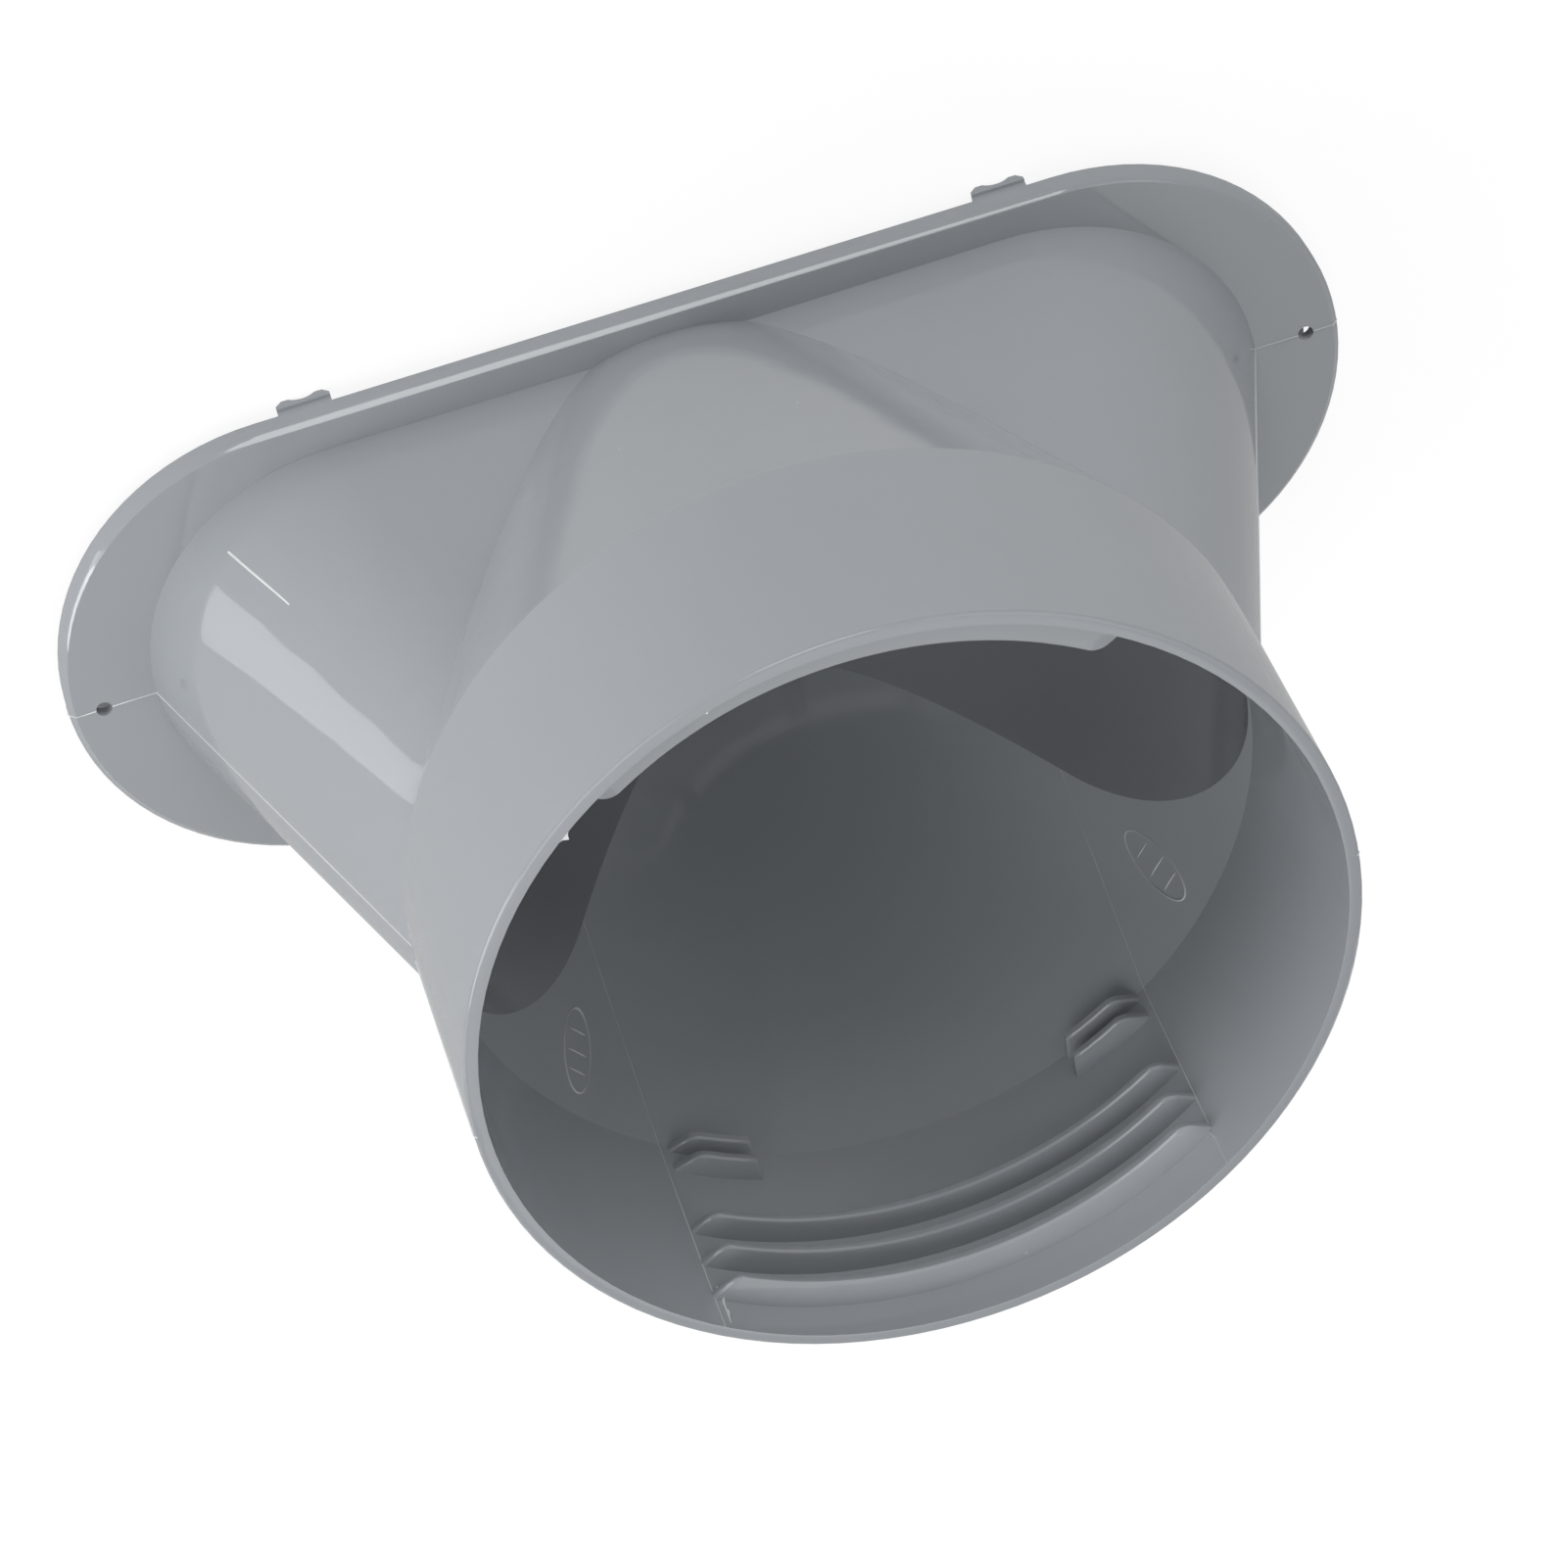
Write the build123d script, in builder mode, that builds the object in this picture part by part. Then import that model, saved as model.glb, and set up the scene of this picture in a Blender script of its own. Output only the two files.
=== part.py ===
from build123d import *
import math
import os

# Round collar that takes the hose, its bore drafted out towards the mouth; all sizes in mm
hose_bore = 149.6
bore_draft = 1.4
collar_length = 47.2
wall = 2.4
mouth_chamfer = 0.5

# Oblong flange with full-round ends and a lip turned back round its edge
flange_length = 246.0
flange_width = 95.4
flange_depth = 4.3
flange_bevel = 1.2
flange_end_border = 16.5
flange_side_border = 6.95
screw_hole = 3.0
screw_edge = 6.5

# Flat duct between flange and collar: oblong at the flange, nearly as wide as the collar at the throat
duct_rise = 94.2
duct_length = flange_length - 2 * flange_end_border
duct_width = flange_width - 2 * flange_side_border
throat_length = 151.2
throat_width = 77.0

# Cone through the duct, from its foot on the flange out to the collar
cone_foot = 86.0
cone_wall = 3.7

# Long ribs inside the collar, arcs of the thread that takes the hose, rising from the collar's foot
rib_height = 5.6
rib_thickness = 2.2
rib_chamfer = 0.5
rib_crest_angle = 36.0
rib_tip_angle = 38.5
rib_corner = 3.5
rib_rise = 21.8
hose_pitch = 8.3
rib_count = 3

# Short ribs at the foot of the collar, in line with the ends of the long ones and square to the bore
stub_height = 5.6
stub_root_angle = 22.6
stub_start_angle = 25.5
stub_crest_angle = 34.5
stub_rise = 0.8
stub_pitch = 5.2
stub_count = 2

# Lugs behind the long edges of the flange, saddle shaped at the tip and barbed outwards
lug_height = 3.2
lug_width = 10.0
lug_inset = 9.7
lug_barb = 0.6
lug_barb_height = 2.0
lug_corner = 1.2
saddle_depth = 0.9
saddle_width = 5.0

# Places along the flange: the screws from its ends, the lugs from the ends of its straight edges
screw_place = flange_length / 2 - screw_edge
lug_place = (flange_length - flange_width) / 2 - lug_inset

# Heights above the tips of the lugs
flange_back = lug_height
flange_face = flange_back + flange_depth
plate_back = flange_face - wall
collar_foot = flange_face + duct_rise
mouth = collar_foot + collar_length

# Radii of the round part and the cone's slope
bore_radius = hose_bore / 2
collar_radius = bore_radius + wall
cone_gain = (collar_radius - cone_foot / 2) / duct_rise

# Lean of the duct's round ends towards the collar, and the draft that narrows it on the way
side_gain = (duct_width - throat_width) / 2 / duct_rise
end_slope = math.atan2((duct_length - throat_length) / 2, duct_rise)
draft = math.atan(side_gain * math.cos(end_slope) / (1 - side_gain * math.sin(end_slope)))
lean = end_slope - draft
end_centre = duct_length / 2 - duct_width / 2 * math.cos(draft) / math.cos(end_slope)

# Start of the leaning ends, far enough down their axis to lie wholly behind the flange
end_drop = duct_width / 2
end_reach = end_drop + duct_rise / math.cos(lean)
end_start = end_centre + end_drop * math.sin(lean)


def leaning_plane(across, level, angle):
    """Plane on the long axis, tilted so that it rises along that axis."""
    return Plane(
        origin=(across, 0, level),
        x_dir=(math.cos(angle), 0, math.sin(angle)),
        z_dir=(-math.sin(angle), 0, math.cos(angle)),
    )


def cone_radius(level, skin):
    """Radius of the cone at a height, with a skin of some thickness taken off."""
    return cone_foot / 2 + cone_gain * (level - flange_face) - skin * math.hypot(1, cone_gain)


def polar(radius, angle):
    """Point at an angle off the far end of the short axis."""
    return (radius * math.sin(math.radians(angle)), radius * math.cos(math.radians(angle)))


def crest_edges(rib):
    """Edges along both sides of a rib's crest and ends, clear of the wall it grows from."""
    sides = rib.faces().sort_by(SortBy.AREA)[-2:].edges()
    return sides.filter_by(lambda edge: math.hypot(edge.center().X, edge.center().Y) < bore_radius)


# Middle of the wall, where the roots of the ribs end
root_radius = bore_radius + wall / 2
crest_radius = bore_radius - rib_height
stub_radius = bore_radius - stub_height

# One long rib, on the far side of the bore, leaning with the thread and its crest trimmed true to the bore
thread_lean = math.atan2(hose_pitch, math.pi * hose_bore)
crest_trim = rib_chamfer / 4
rough_radius = crest_radius - crest_trim
with BuildPart() as long_rib:
    with BuildSketch(leaning_plane(0, 0, thread_lean)) as rib_outline:
        with BuildLine():
            ThreePointArc(
                polar(rough_radius, -rib_crest_angle),
                (0, rough_radius),
                polar(rough_radius, rib_crest_angle),
            )
            Line(polar(rough_radius, rib_crest_angle), polar(root_radius, rib_tip_angle))
            ThreePointArc(
                polar(root_radius, rib_tip_angle),
                (0, root_radius),
                polar(root_radius, -rib_tip_angle),
            )
            Line(polar(root_radius, -rib_tip_angle), polar(rough_radius, -rib_crest_angle))
        make_face()
        fillet(rib_outline.vertices().group_by(Axis.Y)[0], rib_corner)
    extrude(amount=rib_thickness / 2, both=True)
    chamfer(crest_edges(long_rib), rib_chamfer + crest_trim)
    Cylinder(crest_radius, hose_pitch, mode=Mode.SUBTRACT)

# The pair of short ribs at one level, on the far side of the bore
with BuildPart() as stub_pair:
    with BuildSketch() as stub_outline:
        with BuildLine():
            ThreePointArc(
                polar(stub_radius, stub_start_angle),
                polar(stub_radius, (stub_start_angle + stub_crest_angle) / 2),
                polar(stub_radius, stub_crest_angle),
            )
            Line(polar(stub_radius, stub_crest_angle), polar(root_radius, rib_tip_angle))
            ThreePointArc(
                polar(root_radius, rib_tip_angle),
                polar(root_radius, (stub_root_angle + rib_tip_angle) / 2),
                polar(root_radius, stub_root_angle),
            )
            Line(polar(root_radius, stub_root_angle), polar(stub_radius, stub_start_angle))
        make_face()
        fillet(stub_outline.vertices().sort_by(Axis.X)[-2], rib_corner)
    extrude(amount=rib_thickness / 2, both=True)
    chamfer(crest_edges(stub_pair), rib_chamfer)
    mirror(about=Plane.YZ)

# One lug in the middle of the flange's far edge
with BuildPart() as lug:
    with BuildSketch(Plane.XZ.offset(-flange_width / 2 - lug_barb)):
        with BuildLine():
            outline = Polyline(
                (saddle_width / 2, 0),
                (lug_width / 2 - lug_corner, 0),
                (lug_width / 2, lug_corner),
                (lug_width / 2, flange_back + wall / 2),
                (-lug_width / 2, flange_back + wall / 2),
                (-lug_width / 2, lug_corner),
                (lug_corner - lug_width / 2, 0),
                (-saddle_width / 2, 0),
            )
            ThreePointArc(outline @ 1, (0, saddle_depth), outline @ 0)
        make_face()
    extrude(amount=wall + lug_barb)
    with BuildSketch(Plane.XZ.offset(-flange_width / 2 - lug_barb)):
        with Locations((0, lug_barb_height)):
            Rectangle(2 * lug_width, 2 * flange_face, align=(Align.CENTER, Align.MIN))
    extrude(amount=lug_barb, mode=Mode.SUBTRACT)

# Duct, cone and collar as solid forms: the outside, and the hollow within its walls
forms = []
for duct_skin, cone_skin, foot_radius, mouth_radius in (
    (0, 0, collar_radius, collar_radius),
    (wall, cone_wall, bore_radius - bore_draft, bore_radius),
):
    end_radius = duct_width / 2 + end_drop * math.tan(draft) - duct_skin / math.cos(draft)
    kink = flange_face + (foot_radius - cone_radius(flange_face, cone_skin)) / cone_gain
    with BuildPart() as form:
        with BuildSketch(leaning_plane(end_start, flange_face - end_drop * math.cos(lean), lean)):
            Circle(end_radius)
            Rectangle(end_start / math.cos(lean), 2 * end_radius, align=(Align.MAX, Align.CENTER))
        extrude(amount=end_reach, taper=math.degrees(draft))
        mirror(about=Plane.YZ)
        with BuildSketch(Plane.XZ):
            with BuildLine():
                Polyline(
                    (0, flange_back),
                    (cone_radius(flange_back, cone_skin), flange_back),
                    (foot_radius, kink),
                    (mouth_radius, mouth),
                    (0, mouth),
                    close=True,
                )
            make_face()
        revolve(axis=Axis.Z)
    forms.append(form.part)
outside, hollow = forms

with BuildPart() as coupler:
    # Flange plate with its edge eased, duct, cone and collar
    with BuildSketch(Plane.XY.offset(flange_back)):
        SlotOverall(flange_length, flange_width)
    extrude(amount=flange_depth)
    chamfer(coupler.faces().sort_by(Axis.Z)[-1].edges(), flange_bevel)
    add(outside)
    split(bisect_by=Plane.XY.offset(flange_back), keep=Keep.TOP)

    # Recess behind the plate that leaves the lip, and the hollow right through
    with BuildSketch(Plane.XY.offset(flange_back)):
        SlotOverall(flange_length - 2 * wall, flange_width - 2 * wall)
    extrude(amount=flange_depth - wall, mode=Mode.SUBTRACT)
    add(hollow, mode=Mode.SUBTRACT)
    chamfer(coupler.faces().sort_by(Axis.Z)[-1].outer_wire().edges(), mouth_chamfer)

    # Screw holes, ribs and lugs
    with BuildSketch(Plane.XY.offset(plate_back)):
        with Locations((-screw_place, 0), (screw_place, 0)):
            Circle(screw_hole / 2)
    extrude(amount=wall, mode=Mode.SUBTRACT)
    for turn in (0, 180):
        thread_start = collar_foot + rib_rise + hose_pitch * turn / 360
        for index in range(rib_count):
            with Locations(Location((0, 0, thread_start + index * hose_pitch), (0, 0, turn))):
                add(long_rib.part)
        for index in range(stub_count):
            with Locations(Location((0, 0, collar_foot + stub_rise + index * stub_pitch), (0, 0, turn))):
                add(stub_pair.part)
        for side in (-1, 1):
            with Locations(Location((side * lug_place, 0, 0), (0, 0, turn))):
                add(lug.part)

coupler.part.label = "hose_coupler"
os.makedirs("parts", exist_ok=True)
export_step(coupler.part, "parts/hose_coupler.step")
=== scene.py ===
"""Exhaust hose coupler: a grey injection moulding, dressed on its CAD frame and set on a plain pale stage."""

import math

import bpy
from bpy.props import FloatProperty, FloatVectorProperty, PointerProperty, StringProperty
from mathutils import Matrix, Vector


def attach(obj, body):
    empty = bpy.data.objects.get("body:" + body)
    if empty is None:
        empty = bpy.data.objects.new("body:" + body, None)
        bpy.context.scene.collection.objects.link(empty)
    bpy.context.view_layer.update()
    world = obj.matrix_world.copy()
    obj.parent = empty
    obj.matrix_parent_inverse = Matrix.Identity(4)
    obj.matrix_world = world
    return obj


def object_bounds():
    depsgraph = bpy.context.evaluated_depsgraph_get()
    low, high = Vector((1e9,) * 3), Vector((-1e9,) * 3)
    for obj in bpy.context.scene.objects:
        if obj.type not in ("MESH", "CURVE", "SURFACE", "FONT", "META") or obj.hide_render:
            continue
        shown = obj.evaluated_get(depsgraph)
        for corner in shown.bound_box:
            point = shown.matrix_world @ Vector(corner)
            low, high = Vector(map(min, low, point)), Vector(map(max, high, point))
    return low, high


bl_info = {
    "name": "Exhaust Hose Coupler",
    "version": (1, 0, 0),
    "blender": (4, 5, 0),
    "location": "View3D > Sidebar > Hose Coupler",
    "description": "Finishes the moulded hose coupler and sets its studio stage",
    "category": "Object",
}

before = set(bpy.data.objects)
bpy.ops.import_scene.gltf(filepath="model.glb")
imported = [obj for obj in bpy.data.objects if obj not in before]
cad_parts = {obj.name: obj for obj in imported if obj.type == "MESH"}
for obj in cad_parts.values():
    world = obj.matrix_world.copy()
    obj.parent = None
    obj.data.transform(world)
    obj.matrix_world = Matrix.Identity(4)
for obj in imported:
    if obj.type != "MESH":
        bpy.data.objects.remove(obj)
CAD_LOW, CAD_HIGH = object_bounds()
BODY = "root"
NODE = "hose_coupler"
MM = 0.001

# The moulding's own surfaces, in millimetres above the tips of its lugs
FLANGE_BACK = 3.2
FLANGE_FACE = 7.5
FLANGE_BEVEL = 1.2
FLANGE_END = 123.0
FLANGE_HALF = 47.7
SHADE_INSET = 4.7
SCREW_PLACE = 116.5
SCREW_RADIUS = 1.5
DUCT_END = 106.5
DUCT_LEAN = 0.328
CONE_FOOT = 43.0
CONE_GAIN = 0.36306
INNER_FOOT = 39.064
COLLAR_FOOT = 101.7
COLLAR_RADIUS = 77.2
BORE_FOOT = 102.0
BORE_FOOT_RADIUS = 73.4
BORE_RADIUS = 74.8
MOUTH = 148.9
BORE_LEAN = (BORE_RADIUS - BORE_FOOT_RADIUS) / (MOUTH - BORE_FOOT)
SEAM_FOOT = 61.9
MOUTH_CHAMFER = 0.5

# Ejector pins on the inside of the cone, by long and short axis, and the ticks on their faces
PIN_PLACES = ((-54.3, 42.0), (54.3, 42.0), (-54.3, -42.0), (54.3, -42.0))
PIN_TICKS = (-0.45, 0.05, 0.5)
TICK_SHARE = 0.8
TICK_HEIGHTS = (0.02, 0.2, 0.26, 0.2, 0.02)

# Torn flash: start and end as angle and height on the bore, then the ragged heights between them
TEARS = (
    ((310.9, 148.7), (312.9, 148.7), (0.1, 0.5, 1.2, 0.3, 0.1)),
    ((302.0, 146.1), (306.2, 145.6), (0.1, 0.7, 0.3, 0.9, 0.4, 1.0, 0.2)),
    ((234.2, 146.3), (236.6, 146.0), (0.1, 0.5, 0.2, 0.7, 0.1)),
    ((287.6, 148.7), (288.3, 148.7), (0.1, 0.5, 0.1)),
    ((53.2, 138.6), (53.6, 147.6), (0.2, 0.7, 0.3, 0.9, 0.5, 0.3, 0.8, 0.2, 0.1)),
    ((127.2, 138.2), (127.6, 142.5), (0.1, 0.5, 0.3, 0.6, 0.1)),
)

# Scuff along the front of the duct's end, the way out of the wall there, and its heights
SCUFF = ((86.4, -32.42, 16.9), (84.5, -32.45, 22.28), (82.83, -32.49, 26.91), (79.1, -32.53, 37.48))
SCUFF_OUTWARD = (0.564, -0.803, 0.195)
SCUFF_HEIGHTS = (0.18, 0.2, 0.16, 0.06)

# Widths and heights of the fine marks, and how deep every mark is rooted in the wall
SEAM_WIDTH = 0.36
SEAM_HEIGHT = 0.14
RING_WIDTH = 0.6
RING_HEIGHT = 0.3
TICK_WIDTH = 0.45
TEAR_WIDTH = 0.22
SCUFF_WIDTH = 0.62
MARK_ROOT = 0.08

# Creases: any fold past the first angle is crisp, and past the second one between flange face and bore
STEEP_FOLD = 50
WALL_FOLD = 12

# Floor: half its side in metres, how much of it glows as white paper, and how white the camera sees that
FLOOR_REACH = 6.0
PAPER_SHARE = 0.8
PAPER_WHITE = 1.1
SENSOR_WIDTH = 36
STRIP_SPREAD = 90

# Soft lamps round the part: turn from the front towards the long axis, rise, watts and relative size
LAMP_AIM = Vector((0, 0, 0.07))
SOFT_LAMPS = (
    ("front_lamp", 0, 15, 7.6, 1.0),
    ("side_lamp", 90, 8, 11.0, 1.0),
    ("corner_lamp", 315, 32, 2.5, 1.2),
    ("high_side_lamp", 90, 60, 7.8, 1.4),
    ("high_back_lamp", 180, 60, 2.0, 1.3),
    ("high_far_lamp", 270, 60, 2.2, 1.4),
    ("back_lamp", 205, 8, 6.0, 1.0),
)

# Strip lamp beside the duct's end, in millimetres, and the way it faces
STRIP_FOOT = (114.5, -26.0, 8.0)
STRIP_HEAD = (116.3, -40.0, 62.0)
STRIP_FACING = (-0.85, 0.15, 0.51)
STRIP_WIDTH = 19.0


def linear(code):
    """An sRGB hex colour as linear red, green, blue and alpha."""
    channels = [int(code[i:i + 2], 16) / 255 for i in (1, 3, 5)]
    return [c / 12.92 if c <= 0.04045 else ((c + 0.055) / 1.055) ** 2.4 for c in channels] + [1.0]


def add_node(tree, kind, inputs=None, **settings):
    """Adds one node, sets its properties, and fills or links its inputs."""
    made = tree.nodes.new(kind)
    for name, value in settings.items():
        setattr(made, name, value)
    for key, value in (inputs or {}).items():
        if isinstance(value, bpy.types.NodeSocket):
            tree.links.new(value, made.inputs[key])
        else:
            made.inputs[key].default_value = value
    return made


class FinishSettings(bpy.types.PropertyGroup):
    """Colours of the moulding and the sizes of its fine mould marks."""

    plastic: StringProperty(name="Plastic", description="Colour of the moulded plastic", default="#9DA1A5")
    flow: StringProperty(name="Flow", description="Colour of its paler flow marks", default="#A2A6AB")
    # Pale partly from stress whitening and partly as a painted highlight on the parting ridge, core seams and
    # ejector rings
    whitened_and_highlight: StringProperty(
        name="Rubbed", description="Colour where the mould pinched it pale", default="#ECEEEF",
    )
    # Near white partly from tearing and scuffing and partly as a painted glint along the torn flash and the
    # scuff
    torn: StringProperty(name="Torn", description="Colour of torn flash and scuffs", default="#F4F5F5")
    ridge_width: FloatProperty(
        name="Ridge Width", description="Width of the parting ridge", default=0.42 * MM,
        unit="LENGTH", precision=5,
    )
    ridge_height: FloatProperty(
        name="Ridge Height", description="Height of the parting ridge", default=0.16 * MM,
        unit="LENGTH", precision=5,
    )
    seam_place: FloatProperty(
        name="Core Seam", description="Distance of the core seams from the short axis", default=45.6 * MM,
        unit="LENGTH", precision=5,
    )
    pin_radius: FloatProperty(
        name="Ejector Pin", description="Radius of the ejector pins", default=3.1 * MM,
        unit="LENGTH", precision=5,
    )


class StageSettings(bpy.types.PropertyGroup):
    """Camera, floor and lamps."""

    lens: FloatProperty(
        name="Lens", description="Focal length on a 36 mm sensor", default=129.832, unit="CAMERA",
    )
    camera_place: FloatVectorProperty(
        name="Camera", description="Where the camera stands", size=3, subtype="TRANSLATION",
        default=(0.088978, -0.628609, 0.836670), precision=6,
    )
    camera_turn: FloatVectorProperty(
        name="Turn", description="How the camera is turned", size=3, subtype="EULER",
        default=[math.radians(a) for a in (-37.80954, -14.787512, 169.227881)],
    )
    floor: StringProperty(name="Floor", description="Colour of the floor", default="#E9E9E9")
    daylight: FloatProperty(
        name="Room Light", description="Strength of the even light all round", default=0.245,
    )
    gloss_floor: FloatProperty(
        name="Floor in Gloss", description="How bright the gloss sees the floor", default=0.46,
    )
    lamp_size: FloatProperty(
        name="Lamp Size", description="Width of the round soft lamps", default=0.8, unit="LENGTH",
    )
    lamp_reach: FloatProperty(
        name="Lamp Reach", description="Distance of the soft lamps from the part", default=1.5, unit="LENGTH",
    )
    strip_power: FloatProperty(
        name="Strip Lamp", description="Power of the thin strip lamp by the duct's end", default=0.0022,
        unit="POWER", precision=5,
    )


def crisp_creases(body):
    """Joins the CAD faces, keeps their creases crisp and shades the eased edges round."""
    tree = bpy.data.node_groups.new("crisp_creases", "GeometryNodeTree")
    for way in ("INPUT", "OUTPUT"):
        tree.interface.new_socket("Geometry", in_out=way, socket_type="NodeSocketGeometry")
    source = add_node(tree, "NodeGroupInput")
    plain = add_node(tree, "GeometryNodeRemoveAttribute", {
        "Geometry": source.outputs[0], "Name": "custom_normal"})
    joined = add_node(tree, "GeometryNodeMergeByDistance", {
        "Geometry": plain.outputs[0], "Distance": 0.001 * MM})
    smooth = add_node(tree, "GeometryNodeSetShadeSmooth", {"Geometry": joined.outputs[0]})
    angle = add_node(tree, "GeometryNodeInputMeshEdgeAngle").outputs["Unsigned Angle"]
    place = add_node(tree, "GeometryNodeInputPosition")
    height = add_node(tree, "ShaderNodeSeparateXYZ", {0: place.outputs[0]}).outputs["Z"]
    more, less = {"operation": "GREATER_THAN"}, {"operation": "LESS_THAN"}
    steep = add_node(tree, "FunctionNodeCompare", {"A": angle, "B": math.radians(STEEP_FOLD)}, **more)
    shallow = add_node(tree, "FunctionNodeCompare", {"A": angle, "B": math.radians(WALL_FOLD)}, **more)
    above = add_node(tree, "FunctionNodeCompare", {"A": height, "B": (FLANGE_FACE - 0.1) * MM}, **more)
    below = add_node(tree, "FunctionNodeCompare", {"A": height, "B": (BORE_FOOT + 1) * MM}, **less)
    walls = add_node(tree, "FunctionNodeBooleanMath", {
        0: above.outputs[0], 1: below.outputs[0]}, operation="AND")
    crease = add_node(tree, "FunctionNodeBooleanMath", {
        0: shallow.outputs[0], 1: walls.outputs[0]}, operation="AND")
    either = add_node(tree, "FunctionNodeBooleanMath", {
        0: crease.outputs[0], 1: steep.outputs[0]}, operation="OR")
    sharp = add_node(tree, "GeometryNodeSetShadeSmooth", {
        "Geometry": smooth.outputs[0], "Selection": either.outputs[0], "Shade Smooth": False}, domain="EDGE")
    add_node(tree, "NodeGroupOutput", {0: sharp.outputs[0]})
    body.modifiers.new("crisp_creases", "NODES").node_group = tree
    even = body.modifiers.new("even_shading", "WEIGHTED_NORMAL")
    even.keep_sharp = True
    even.weight = 100


def moulded_plastic(name, base, flow):
    """ABS moulded in a polished steel mould: glossy, with faint flow clouds and a trace of ripple."""
    # The polished mould gives clear but slightly soft reflections; the melt leaves faint paler clouds,
    # duller patches of gloss and a ripple that makes long reflections waver a little
    material = bpy.data.materials.new(name)
    material.use_nodes = True
    tree = material.node_tree
    tree.nodes.clear()
    place = add_node(tree, "ShaderNodeTexCoord").outputs["Object"]
    clouds = add_node(tree, "ShaderNodeTexNoise", {"Vector": place, "Scale": 1 / (45 * MM), "Detail": 4.0})
    colour = add_node(tree, "ShaderNodeMix", {
        "Factor": clouds.outputs["Fac"], "A": linear(base), "B": linear(flow)}, data_type="RGBA")
    # Dust specks about a third of a millimetre across, one in each 16 mm or so of wall
    dust = add_node(tree, "ShaderNodeTexVoronoi", {"Vector": place, "Scale": 1 / (16 * MM)})
    speck = add_node(tree, "ShaderNodeMapRange", {
        "Value": dust.outputs["Distance"], "From Min": 0.012, "From Max": 0.022,
        "To Min": 0.5, "To Max": 0.0})
    dusted = add_node(tree, "ShaderNodeMix", {
        "Factor": speck.outputs[0], "A": colour.outputs["Result"], "B": linear("#C9CBC9")}, data_type="RGBA")
    patches = add_node(tree, "ShaderNodeTexNoise", {"Vector": place, "Scale": 1 / (18 * MM), "Detail": 5.0})
    gloss = add_node(tree, "ShaderNodeMapRange", {
        "Value": patches.outputs["Fac"], "From Min": 0.3, "From Max": 0.7, "To Min": 0.05, "To Max": 0.09})
    ripple = add_node(tree, "ShaderNodeTexNoise", {"Vector": place, "Scale": 1 / (14 * MM), "Detail": 1.0})
    grain = add_node(tree, "ShaderNodeTexNoise", {"Vector": place, "Scale": 1 / (0.9 * MM), "Detail": 2.0})
    wavy = add_node(tree, "ShaderNodeBump", {
        "Height": ripple.outputs["Fac"], "Strength": 1.0, "Distance": 0.05 * MM})
    fine = add_node(tree, "ShaderNodeBump", {
        "Height": grain.outputs["Fac"], "Strength": 1.0, "Distance": 0.004 * MM, "Normal": wavy.outputs[0]})
    shader = add_node(tree, "ShaderNodeBsdfPrincipled", {
        "Base Color": dusted.outputs["Result"], "Roughness": gloss.outputs[0], "IOR": 1.53,
        "Normal": fine.outputs[0]})
    add_node(tree, "ShaderNodeOutputMaterial", {"Surface": shader.outputs["BSDF"]})
    return material


def whitened_plastic_and_highlight(finish):
    """The same ABS where the mould pinched or tore it, stress-whitened and a little duller; its pale colour
    is also a painted highlight along the thin ridges and rings.
    """
    return moulded_plastic("pinched_ABS_with_painted_highlight", finish.whitened_and_highlight, finish.flow)


def torn_plastic_and_glint(finish):
    """The same ABS torn through or scuffed, left almost white: partly real whitening and partly a painted
    glint along the thin flash and scuff.
    """
    return moulded_plastic("torn_ABS_with_painted_glint", finish.torn, finish.whitened_and_highlight)


class Ridges:
    """Gathers thin raised lines into one mesh; each is a closed strip of three-sided bars."""

    def __init__(self):
        self.points, self.faces = [], []

    def add(self, path, outward, width, heights, closed=False):
        """Adds a line through points, raised along outward by a height at each point, all in millimetres."""
        places = [Vector(p) * MM for p in path]
        sink = MARK_ROOT * MM
        count = len(places)
        first = len(self.points)
        for i, place in enumerate(places):
            before = places[i - 1] if i or closed else place
            after = places[(i + 1) % count] if i + 1 < count or closed else place
            out = Vector(outward[i]).normalized()
            side = (after - before).cross(out).normalized() * (width * MM / 2)
            crest = place + out * heights[i] * MM
            self.points += [place + side - out * sink, crest, place - side - out * sink]
        runs = range(count if closed else count - 1)
        for i in runs:
            a, b = first + 3 * i, first + 3 * ((i + 1) % count)
            for j in range(3):
                k = (j + 1) % 3
                self.faces.append((a + j, a + k, b + k, b + j))
        if not closed:
            last = first + 3 * (count - 1)
            self.faces += [(first + 2, first + 1, first), (last, last + 1, last + 2)]

    def piece(self, name, material):
        """Makes the gathered lines one object that rides on the body."""
        mesh = bpy.data.meshes.new(name)
        mesh.from_pydata(self.points, [], self.faces)
        mesh.validate()
        made = bpy.data.objects.new(name, mesh)
        bpy.context.scene.collection.objects.link(made)
        bpy.context.view_layer.objects.active = made
        made.select_set(True)
        bpy.ops.object.mode_set(mode="EDIT")
        bpy.ops.mesh.select_all(action="SELECT")
        bpy.ops.mesh.normals_make_consistent(inside=False)
        bpy.ops.object.mode_set(mode="OBJECT")
        made.select_set(False)
        mesh.materials.append(material)
        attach(made, BODY)
        return made


def inner_cone(height):
    """Radius of the cone's inside at a height."""
    return INNER_FOOT + CONE_GAIN * (height - FLANGE_FACE)


def bore(height):
    """Radius of the collar's drafted bore at a height."""
    return BORE_FOOT_RADIUS + BORE_LEAN * (height - BORE_FOOT)


def on_bore(degrees, height):
    """Point on the bore's wall and the way out of the plastic there."""
    along, across = math.cos(math.radians(degrees)), math.sin(math.radians(degrees))
    radius = bore(height)
    return (radius * along, radius * across, height), (-along, -across, BORE_LEAN)


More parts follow.
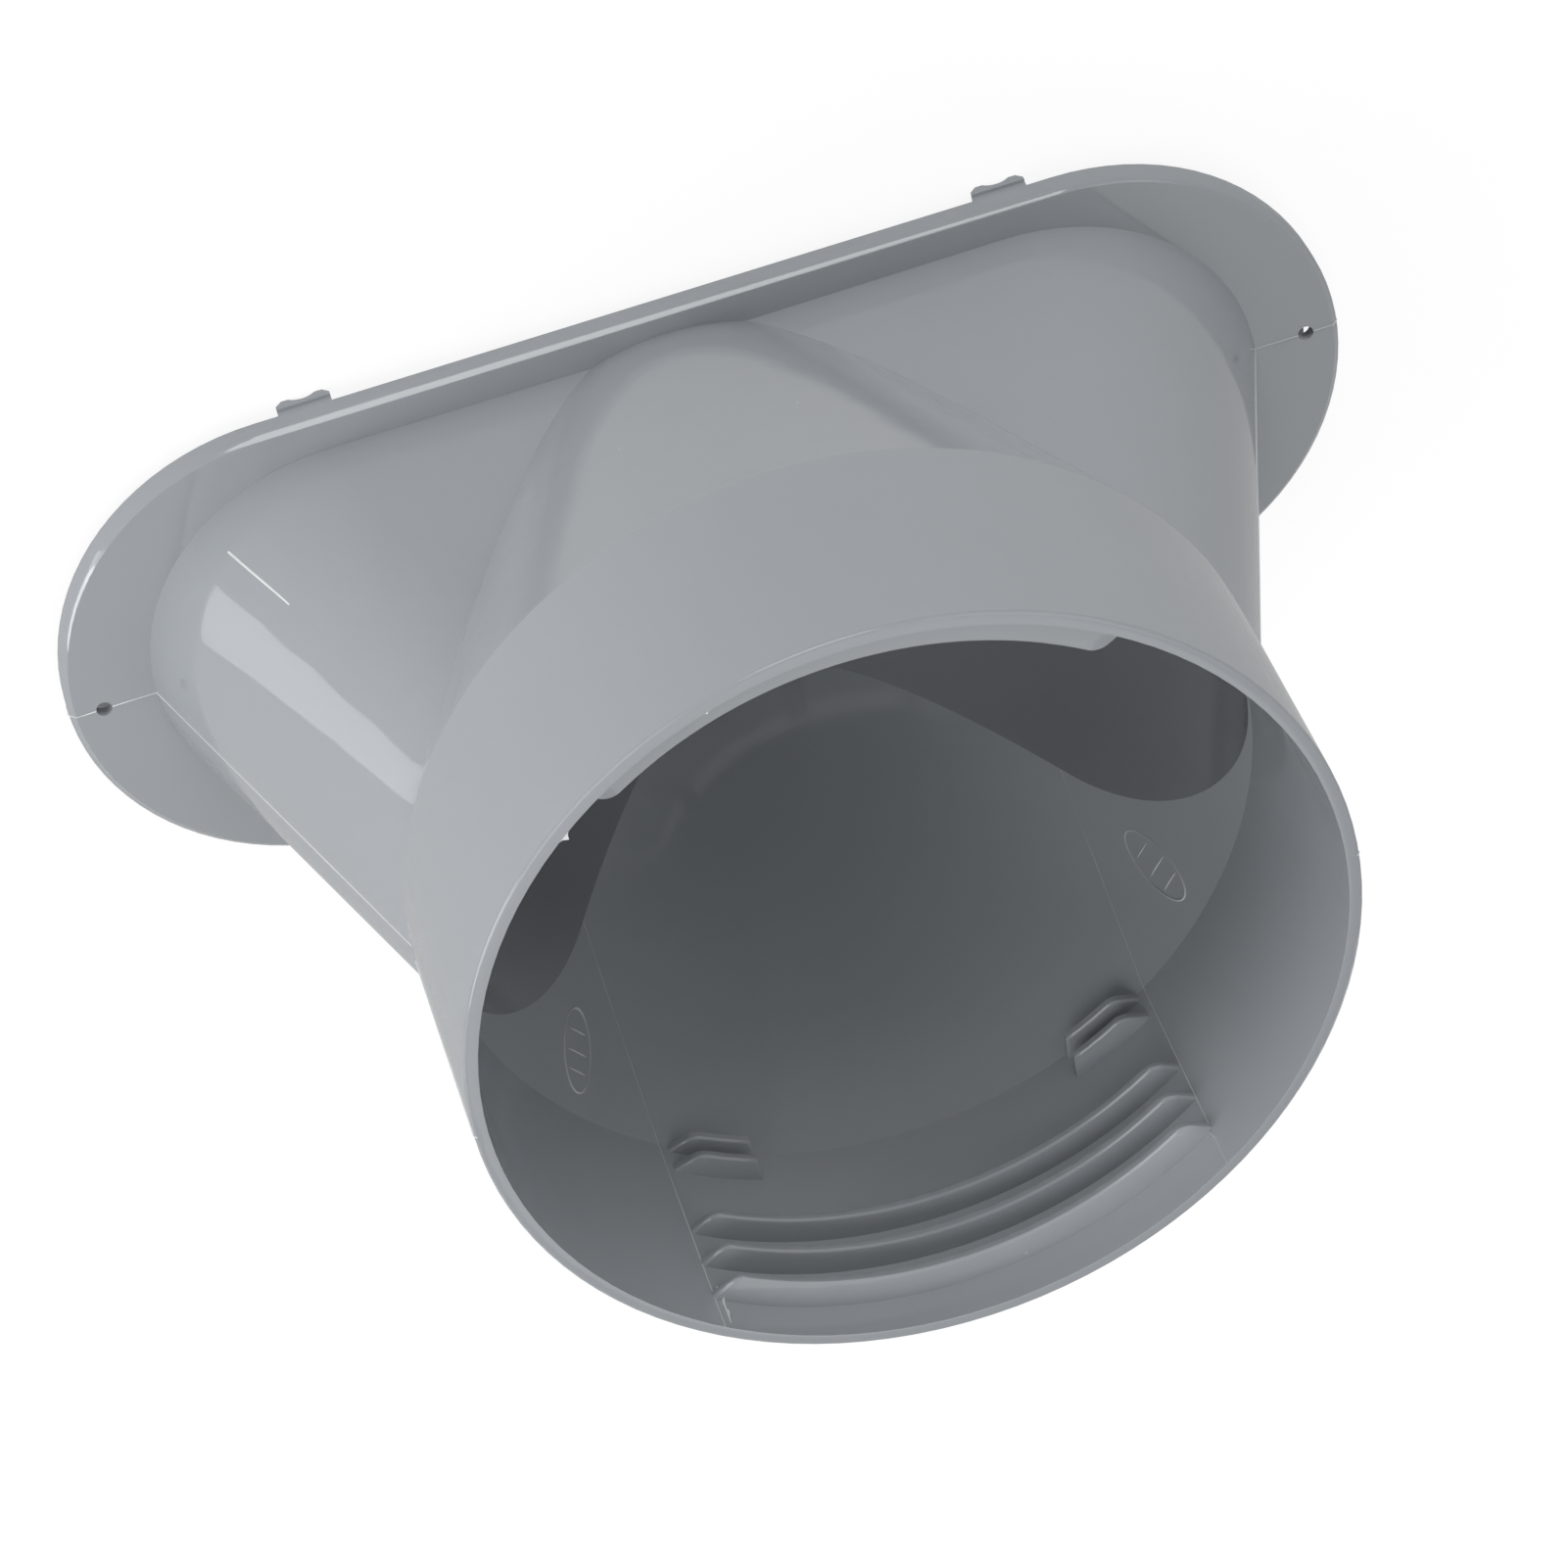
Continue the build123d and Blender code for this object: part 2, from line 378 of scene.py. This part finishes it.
def on_cone(x, y):
    """Point on the cone's inside and the way out of the plastic there."""
    radius = math.hypot(x, y)
    height = FLANGE_FACE + (radius - INNER_FOOT) / CONE_GAIN
    return (x, y, height), (-x / radius, -y / radius, CONE_GAIN)


def spaced(start, end, count):
    """Evenly spaced numbers from start to end."""
    return [start + (end - start) * i / (count - 1) for i in range(count)]


class COUPLER_OT_body(bpy.types.Operator):
    """Gives the one-piece moulding its plastic"""

    bl_idname = "coupler.body"
    bl_label = "Finish Moulding"

    def execute(self, context):
        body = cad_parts[NODE]
        finish = context.scene.coupler_finish
        body.data.materials.clear()
        body.data.materials.append(moulded_plastic("moulded_ABS_grey", finish.plastic, finish.flow))
        crisp_creases(body)
        return {"FINISHED"}


class COUPLER_OT_parting(bpy.types.Operator):
    """Raises the parting ridge that the two halves of the mould leave along both ends"""

    bl_idname = "coupler.parting"
    bl_label = "Parting Ridge"

    def execute(self, context):
        finish = context.scene.coupler_finish
        ridges = Ridges()
        cone_meet = FLANGE_FACE + (DUCT_END - CONE_FOOT) / (DUCT_LEAN + CONE_GAIN)
        meet_radius = CONE_FOOT + CONE_GAIN * (cone_meet - FLANGE_FACE)
        for side in (-1, 1):
            edge = [
                (FLANGE_END, FLANGE_BACK + 0.05, 1, 0),
                (FLANGE_END, FLANGE_FACE - FLANGE_BEVEL, 1, 0.4),
                (FLANGE_END - FLANGE_BEVEL, FLANGE_FACE, 0.4, 1),
                (SCREW_PLACE + SCREW_RADIUS, FLANGE_FACE, 0, 1),
            ]
            wall = [
                (SCREW_PLACE - SCREW_RADIUS, FLANGE_FACE, 0, 1),
                (DUCT_END + 0.05, FLANGE_FACE, 0.7, 1),
            ]
            wall += [
                (DUCT_END - DUCT_LEAN * (z - FLANGE_FACE), z, 1, DUCT_LEAN)
                for z in spaced(FLANGE_FACE + 0.6, cone_meet - 0.3, 12)
            ]
            wall += [
                (meet_radius, cone_meet, 1, 0),
                (COLLAR_RADIUS, COLLAR_FOOT, 1, -0.2),
                (COLLAR_RADIUS, MOUTH - MOUTH_CHAMFER, 1, 0.4),
                (COLLAR_RADIUS - MOUTH_CHAMFER, MOUTH, 0.4, 1),
            ]
            for line in (edge, wall):
                ridges.add(
                    [(side * x, 0, z) for x, z, _, _ in line],
                    [(side * across, 0, up) for _, _, across, up in line],
                    finish.ridge_width / MM, [finish.ridge_height / MM] * len(line),
                )
        ridges.piece("parting_ridge", whitened_plastic_and_highlight(finish))
        return {"FINISHED"}


class COUPLER_OT_seams(bpy.types.Operator):
    """Raises the seams that the core's side inserts leave inside, past the ends of the ribs"""

    bl_idname = "coupler.seams"
    bl_label = "Core Seams"

    def execute(self, context):
        finish = context.scene.coupler_finish
        across = finish.seam_place / MM
        ridges = Ridges()
        for side in (-1, 1):
            for way in (-1, 1):
                path, outward = [], []
                for z in spaced(SEAM_FOOT, BORE_FOOT, 16) + spaced(BORE_FOOT + 1, MOUTH - 0.1, 12):
                    radius = min(inner_cone(z), bore(z))
                    x, y = side * across, way * math.sqrt(radius ** 2 - across ** 2)
                    rise = CONE_GAIN if z <= BORE_FOOT else BORE_LEAN
                    path.append((x, y, z))
                    outward.append((-x / radius, -y / radius, rise))
                ridges.add(path, outward, SEAM_WIDTH, [SEAM_HEIGHT] * len(path))
        ridges.piece("core_seams", whitened_plastic_and_highlight(finish))
        return {"FINISHED"}


class COUPLER_OT_ejectors(bpy.types.Operator):
    """Rings the witness marks of the ejector pins on the inside of the cone"""

    bl_idname = "coupler.ejectors"
    bl_label = "Ejector Marks"

    def execute(self, context):
        finish = context.scene.coupler_finish
        pin = finish.pin_radius / MM
        ridges = Ridges()
        turns = [math.radians(a) for a in range(0, 360, 10)]
        for x, y in PIN_PLACES:
            ring = [on_cone(x + pin * math.cos(a), y + pin * math.sin(a)) for a in turns]
            ridges.add(*zip(*ring), RING_WIDTH, [RING_HEIGHT] * len(ring), closed=True)
            radius = math.hypot(x, y)
            for step in PIN_TICKS:
                half = pin * math.sqrt(1 - step ** 2) * TICK_SHARE
                centre = (x + pin * step * x / radius, y + pin * step * y / radius)
                tick = [
                    on_cone(centre[0] - t * half * y / radius, centre[1] + t * half * x / radius)
                    for t in spaced(-1, 1, len(TICK_HEIGHTS))
                ]
                ridges.add(*zip(*tick), TICK_WIDTH, TICK_HEIGHTS)
        # The rings and ticks take the pale plastic, partly a painted highlight on their outline
        ridges.piece("ejector_marks", whitened_plastic_and_highlight(finish))
        return {"FINISHED"}


class COUPLER_OT_flash(bpy.types.Operator):
    """Leaves the torn flash where the inserts met the ribs and the rim"""

    bl_idname = "coupler.flash"
    bl_label = "Torn Flash"

    def execute(self, context):
        finish = context.scene.coupler_finish
        ridges = Ridges()
        for (turn, low), (turn_end, high), heights in TEARS:
            steps = spaced(0, 1, len(heights))
            line = [on_bore(turn + (turn_end - turn) * t, low + (high - low) * t) for t in steps]
            ridges.add(*zip(*line), TEAR_WIDTH, heights)
        # The scuff's near-white line is partly a painted glint
        ridges.add(SCUFF, [SCUFF_OUTWARD] * len(SCUFF), SCUFF_WIDTH, SCUFF_HEIGHTS)
        ridges.piece("torn_flash", torn_plastic_and_glint(finish))
        return {"FINISHED"}


class COUPLER_OT_stage(bpy.types.Operator):
    """Sets the floor, the soft lamps and the camera"""

    bl_idname = "coupler.stage"
    bl_label = "Set Stage"

    def execute(self, context):
        scene = context.scene
        stage = scene.coupler_stage
        scene.view_settings.view_transform = "Standard"
        lens = bpy.data.cameras.new("camera")
        lens.lens = stage.lens
        lens.sensor_width = SENSOR_WIDTH
        lens.clip_end = 50
        camera = bpy.data.objects.new("camera", lens)
        camera.location = stage.camera_place
        camera.rotation_euler = stage.camera_turn
        scene.collection.objects.link(camera)
        scene.camera = camera
        self.lay_floor(scene, stage)
        for name, turn, rise, power, spread in SOFT_LAMPS:
            turn, rise = math.radians(turn), math.radians(rise)
            way = Vector((math.sin(turn) * math.cos(rise), -math.cos(turn) * math.cos(rise), math.sin(rise)))
            place = LAMP_AIM + way * stage.lamp_reach
            lamp = self.hang_lamp(name, scene, place, way.to_track_quat("Z", "Y"), power)
            lamp.shape = "DISK"
            lamp.size = stage.lamp_size * spread
        self.stand_strip(scene, stage)
        world = bpy.data.worlds.new("studio")
        world.use_nodes = True
        scene.world = world
        tree = world.node_tree
        tree.nodes.clear()
        # The camera sees white past the floor's edge, and the part gets the room's plain light
        path = add_node(tree, "ShaderNodeLightPath")
        level = add_node(tree, "ShaderNodeMath", {
            0: path.outputs["Is Camera Ray"], 1: 1 - stage.daylight, 2: stage.daylight},
            operation="MULTIPLY_ADD")
        sky = add_node(tree, "ShaderNodeBackground", {
            "Color": linear("#FFFFFF"), "Strength": level.outputs[0]})
        add_node(tree, "ShaderNodeOutputWorld", {"Surface": sky.outputs[0]})
        return {"FINISHED"}

    def lay_floor(self, scene, stage):
        """A pale floor that camera and gloss see as white paper, with the part's soft shadow on it."""
        corners = [(x * FLOOR_REACH, y * FLOOR_REACH, 0) for x, y in ((-1, -1), (1, -1), (1, 1), (-1, 1))]
        mesh = bpy.data.meshes.new("floor")
        mesh.from_pydata(corners, [], [(0, 1, 2, 3)])
        floor = bpy.data.objects.new("floor", mesh)
        scene.collection.objects.link(floor)
        floor.location.z = CAD_LOW.z
        material = bpy.data.materials.new("white_paper_floor")
        material.use_nodes = True
        tree = material.node_tree
        tree.nodes.clear()
        path = add_node(tree, "ShaderNodeLightPath")
        seen = add_node(tree, "ShaderNodeMath", {
            0: path.outputs["Is Camera Ray"], 1: path.outputs["Is Glossy Ray"]}, operation="MAXIMUM")
        # Under the flange the paper lies in the part's own shade, which the holes and the duct show
        place = add_node(tree, "ShaderNodeNewGeometry").outputs["Position"]
        spot = add_node(tree, "ShaderNodeSeparateXYZ", {0: place})
        along = add_node(tree, "ShaderNodeMath", {0: spot.outputs["X"]}, operation="ABSOLUTE")
        past = add_node(tree, "ShaderNodeMath", {
            0: along.outputs[0], 1: (FLANGE_END - FLANGE_HALF) * MM}, operation="SUBTRACT")
        beyond = add_node(tree, "ShaderNodeMath", {0: past.outputs[0], 1: 0.0}, operation="MAXIMUM")
        from_spine = add_node(tree, "ShaderNodeCombineXYZ", {"X": beyond.outputs[0], "Y": spot.outputs["Y"]})
        reach_out = add_node(tree, "ShaderNodeVectorMath", {0: from_spine.outputs[0]}, operation="LENGTH")
        clear = add_node(tree, "ShaderNodeMath", {
            0: reach_out.outputs["Value"], 1: (FLANGE_HALF - SHADE_INSET) * MM}, operation="GREATER_THAN")
        open_floor = add_node(tree, "ShaderNodeMath", {
            0: seen.outputs[0], 1: clear.outputs[0]}, operation="MULTIPLY")
        share = add_node(tree, "ShaderNodeMath", {
            0: open_floor.outputs[0], 1: PAPER_SHARE}, operation="MULTIPLY")
        matt = add_node(tree, "ShaderNodeBsdfDiffuse", {"Color": linear(stage.floor)})
        white = add_node(tree, "ShaderNodeMath", {
            0: path.outputs["Is Camera Ray"], 1: PAPER_WHITE - stage.gloss_floor, 2: stage.gloss_floor},
            operation="MULTIPLY_ADD")
        glow = add_node(tree, "ShaderNodeEmission", {
            "Color": linear("#FFFFFF"), "Strength": white.outputs[0]})
        both = add_node(tree, "ShaderNodeMixShader", {
            0: share.outputs[0], 1: matt.outputs[0], 2: glow.outputs[0]})
        add_node(tree, "ShaderNodeOutputMaterial", {"Surface": both.outputs[0]})
        mesh.materials.append(material)

    def hang_lamp(self, name, scene, place, turn, power):
        """A soft lamp at a place, unseen by the camera itself."""
        lamp = bpy.data.lights.new(name, "AREA")
        lamp.energy = power
        hung = bpy.data.objects.new(name, lamp)
        hung.location = place
        hung.rotation_euler = turn.to_euler()
        hung.visible_camera = False
        scene.collection.objects.link(hung)
        return lamp

    def stand_strip(self, scene, stage):
        """A thin gridded strip lamp that only the gloss of the duct's end shows."""
        foot, head = Vector(STRIP_FOOT) * MM, Vector(STRIP_HEAD) * MM
        along = (head - foot).normalized()
        facing = Vector(STRIP_FACING)
        back = -(facing - along * facing.dot(along)).normalized()
        turn = Matrix((along.cross(back), along, back)).transposed().to_quaternion()
        lamp = self.hang_lamp("strip_lamp", scene, (foot + head) / 2, turn, stage.strip_power)
        lamp.shape = "RECTANGLE"
        lamp.size, lamp.size_y = STRIP_WIDTH * MM, (head - foot).length
        lamp.spread = math.radians(STRIP_SPREAD)
        scene.objects["strip_lamp"].visible_diffuse = False


class COUPLER_PT_sidebar(bpy.types.Panel):
    """Lists the coupler's steps in the sidebar"""

    bl_label = "Hose Coupler"
    bl_space_type = "VIEW_3D"
    bl_region_type = "UI"
    bl_category = "Hose Coupler"

    def draw(self, context):
        for step in OPERATORS:
            self.layout.operator(step.bl_idname)


OPERATORS = (
    COUPLER_OT_body, COUPLER_OT_parting, COUPLER_OT_seams,
    COUPLER_OT_ejectors, COUPLER_OT_flash, COUPLER_OT_stage,
)
CLASSES = (FinishSettings, StageSettings, *OPERATORS, COUPLER_PT_sidebar)


def register():
    for cls in CLASSES:
        bpy.utils.register_class(cls)
    bpy.types.Scene.coupler_finish = PointerProperty(type=FinishSettings)
    bpy.types.Scene.coupler_stage = PointerProperty(type=StageSettings)


def unregister():
    del bpy.types.Scene.coupler_stage
    del bpy.types.Scene.coupler_finish
    for cls in reversed(CLASSES):
        bpy.utils.unregister_class(cls)


def main():
    register()
    bpy.ops.coupler.body()
    bpy.ops.coupler.parting()
    bpy.ops.coupler.seams()
    bpy.ops.coupler.ejectors()
    bpy.ops.coupler.flash()
    bpy.ops.coupler.stage()


if __name__ == "__main__":
    main()
